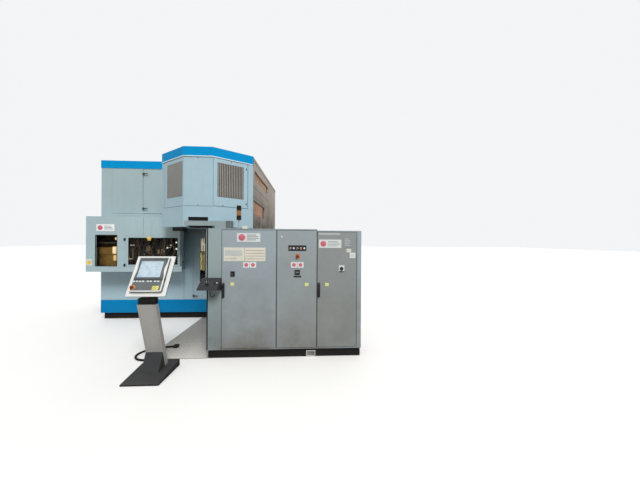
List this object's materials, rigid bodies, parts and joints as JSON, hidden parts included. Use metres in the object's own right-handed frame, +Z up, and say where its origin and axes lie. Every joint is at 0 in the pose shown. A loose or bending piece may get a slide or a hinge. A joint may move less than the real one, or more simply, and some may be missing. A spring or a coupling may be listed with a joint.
{
  "type": "blow moulding machine",
  "caption": "Extrusion blow moulding machine: blue-banded housings, guarded blow station, faceted head bay, extruder guard, electrical cabinets and a tilted operator pedestal.",
  "frame": {"origin": "on the floor, under the middle of the machine's outline", "axes": "+Z up; +Y from the operator's side to the rear; +X to the operator's right, along the cabinet row"},
  "size_m": [5.271, 5.19, 3.434],
  "materials": {
    "housing_panel": "satin powder coat",
    "band_blue": "gloss paint",
    "plinth_black": "satin",
    "cabinet_grey": "textured powder coat",
    "window_pane": "clear and smoked polycarbonate",
    "bright_steel": "machined",
    "frame_paint": "satin",
    "drive_blue": "gloss paint",
    "mould_alloy": "milled",
    "heater_alloy": "heat-tinted",
    "black_plastic": "matt",
    "red_plastic": "gloss",
    "amber_lens": "translucent",
    "device_plastic": "matt",
    "tread_plate": "five-bar tread, worn",
    "conduit_black": "matt",
    "pedestal_light": "textured powder coat",
    "pedestal_dark": "textured powder coat"
  },
  "bodies": {
    "machine": {"plinths": "plinth_black", "machine_base": "band_blue", "lower_housing": "housing_panel", "upper_cabinet": "housing_panel", "roof_fascia": "band_blue", "head_housing": "housing_panel", "extruder_guard": "housing_panel", "fixed_windows": "window_pane", "guard_box": "housing_panel", "machine_bed": "frame_paint", "guide_rails": "bright_steel", "blow_frame": "frame_paint", "extruder_barrel": "bright_steel", "heater_bands": "heater_alloy", "extruder_drive": "drive_blue", "hopper": "bright_steel", "extruder_cradle": "drive_blue", "extrusion_head": "heater_alloy", "electrical_cabinet": "cabinet_grey", "switchgear": "device_plastic", "cable_riser": "cabinet_grey", "roof_boxes": "pedestal_dark", "stack_light": "black_plastic", "stack_light_lens": "amber_lens", "console": "pedestal_dark", "chequer_plate": "tread_plate", "floor_conduit": "conduit_black", "conduit_gland": "black_plastic", "pedestal_base": "pedestal_dark", "pedestal_column": "pedestal_light", "pedestal_neck": "black_plastic"},
    "bay_door": {"bay_door": "housing_panel"},
    "upper_door": {"upper_door": "housing_panel"},
    "latch_upper": {"latch_upper": "black_plastic"},
    "latch_lower": {"latch_lower": "black_plastic"},
    "service_door": {"service_door": "housing_panel", "service_door_window": "window_pane"},
    "latch_service": {"latch_service": "black_plastic"},
    "guard_door": {"guard_door": "housing_panel", "guard_door_window": "window_pane"},
    "clamp_carriage": {"clamp_carriage": "frame_paint", "clamp_cylinder": "frame_paint"},
    "front_half": {"platen_front": "bright_steel", "mould_front": "mould_alloy"},
    "rear_half": {"platen_rear": "bright_steel", "mould_rear": "mould_alloy"},
    "blow_carriage": {"blow_carriage": "bright_steel"},
    "extruder_screw": {"extruder_screw": "bright_steel"},
    "cabinet_door_1": {"cabinet_door_1": "cabinet_grey"},
    "cabinet_door_2": {"cabinet_door_2": "cabinet_grey"},
    "cabinet_door_3": {"cabinet_door_3": "cabinet_grey"},
    "swing_handle_1": {"swing_handle_1": "black_plastic"},
    "swing_handle_3": {"swing_handle_3": "black_plastic"},
    "selector_knob": {"selector_knob": "black_plastic"},
    "main_switch": {"main_switch": "black_plastic"},
    "cabinet_stop_button": {"cabinet_stop_button": "red_plastic"},
    "joystick": {"joystick": "black_plastic"},
    "console_button": {"console_button": "bright_steel"},
    "operator_panel": {"operator_panel": "pedestal_light"},
    "panel_stop_button": {"panel_stop_button": "red_plastic"}
  },
  "joints": [
    {"name": "cabinet_door_1_hinge", "type": "hinge", "parent": "machine", "child": "cabinet_door_1", "pos_m": [1.359, -1.947, 0.6], "axis": [0, 0, 1], "range_deg": [0, 110]},
    {"name": "cabinet_door_2_hinge", "type": "hinge", "parent": "machine", "child": "cabinet_door_2", "pos_m": [1.959, -1.947, 0.6], "axis": [0, 0, 1], "range_deg": [0, 110]},
    {"name": "cabinet_door_3_hinge", "type": "hinge", "parent": "machine", "child": "cabinet_door_3", "pos_m": [2.559, -1.947, 0.6], "axis": [0, 0, 1], "range_deg": [0, 110]},
    {"name": "swing_handle_1_turn", "type": "hinge", "parent": "cabinet_door_1", "child": "swing_handle_1", "pos_m": [0.598, -1.955, 1.084], "axis": [0, -1, 0], "range_deg": [0, 90]},
    {"name": "swing_handle_3_turn", "type": "hinge", "parent": "cabinet_door_3", "child": "swing_handle_3", "pos_m": [1.998, -1.955, 1.084], "axis": [0, -1, 0], "range_deg": [0, 90]},
    {"name": "selector_turn", "type": "hinge", "parent": "cabinet_door_1", "child": "selector_knob", "pos_m": [0.7305, -1.955, 1.231], "axis": [0, 1, 0], "range_deg": [-45, 45]},
    {"name": "main_switch_turn", "type": "hinge", "parent": "cabinet_door_3", "child": "main_switch", "pos_m": [2.3385, -1.955, 1.311], "axis": [0, 1, 0], "range_deg": [0, 90]},
    {"name": "cabinet_stop_press", "type": "slide", "parent": "cabinet_door_2", "child": "cabinet_stop_button", "axis": [0, 1, 0], "range_m": [0, 0.006], "stiffness_N_per_m": 3000},
    {"name": "upper_door_hinge", "type": "hinge", "parent": "machine", "child": "upper_door", "pos_m": [-1.0425, -0.097, 2.5], "axis": [0, 0, 1], "range_deg": [0, 85]},
    {"name": "latch_upper_turn", "type": "hinge", "parent": "upper_door", "child": "latch_upper", "pos_m": [-1.7505, -0.105, 3.158], "axis": [0, 1, 0], "range_deg": [0, 90]},
    {"name": "latch_lower_turn", "type": "hinge", "parent": "upper_door", "child": "latch_lower", "pos_m": [-1.7505, -0.105, 2.401], "axis": [0, 1, 0], "range_deg": [0, 90]},
    {"name": "service_door_hinge", "type": "hinge", "parent": "machine", "child": "service_door", "pos_m": [-0.1005, -0.097, 1.2], "axis": [0, 0, 1], "range_deg": [0, 100]},
    {"name": "latch_service_turn", "type": "hinge", "parent": "service_door", "child": "latch_service", "pos_m": [-0.6735, -0.105, 0.495], "axis": [0, 1, 0], "range_deg": [0, 90]},
    {"name": "guard_door_hinge", "type": "hinge", "parent": "machine", "child": "guard_door", "pos_m": [-1.8405, -0.457, 1.49], "axis": [0, 0, -1], "range_deg": [0, 110]},
    {"name": "bay_door_hinge", "type": "hinge", "parent": "machine", "child": "bay_door", "pos_m": [0.64163, -0.76177, 2.774], "axis": [0, 0, 1], "range_deg": [0, 100]},
    {"name": "carriage_shuttle", "type": "slide", "parent": "machine", "child": "clamp_carriage", "axis": [1, 0, 0], "range_m": [0, 1.14]},
    {"name": "front_half_close", "type": "slide", "parent": "clamp_carriage", "child": "front_half", "axis": [0, 1, 0], "range_m": [0, 0.12]},
    {"name": "rear_half_close", "type": "slide", "parent": "clamp_carriage", "child": "rear_half", "axis": [0, -1, 0], "range_m": [0, 0.12]},
    {"name": "blow_stroke", "type": "slide", "parent": "machine", "child": "blow_carriage", "axis": [0, 0, -1], "range_m": [0, 0.13]},
    {"name": "screw_turn", "type": "hinge", "parent": "machine", "child": "extruder_screw", "pos_m": [-0.1395, 1.045, 2.6], "axis": [0, 1, 0], "continuous": true},
    {"name": "joystick_tilt", "type": "hinge", "parent": "machine", "child": "joystick", "pos_m": [0.4155, -2.05154, 1.08353], "axis": [1, 0, 0], "range_deg": [-15, 15], "stiffness_Nm_per_rad": 0.6},
    {"name": "console_button_press", "type": "slide", "parent": "machine", "child": "console_button", "axis": [0, 0.5979, -0.8016], "range_m": [0, 0.004], "stiffness_N_per_m": 900},
    {"name": "panel_swivel", "type": "hinge", "parent": "machine", "child": "operator_panel", "pos_m": [-0.1515, -2.442, 1.018], "axis": [0, 0, 1], "range_deg": [-30, 30]},
    {"name": "panel_stop_press", "type": "slide", "parent": "operator_panel", "child": "panel_stop_button", "axis": [0, 0.8949, -0.4462], "range_m": [0, 0.006], "stiffness_N_per_m": 3000}
  ],
  "couplings": [
    {"joint": "rear_half_close", "follows": "front_half_close", "ratio": 1}
  ]
}
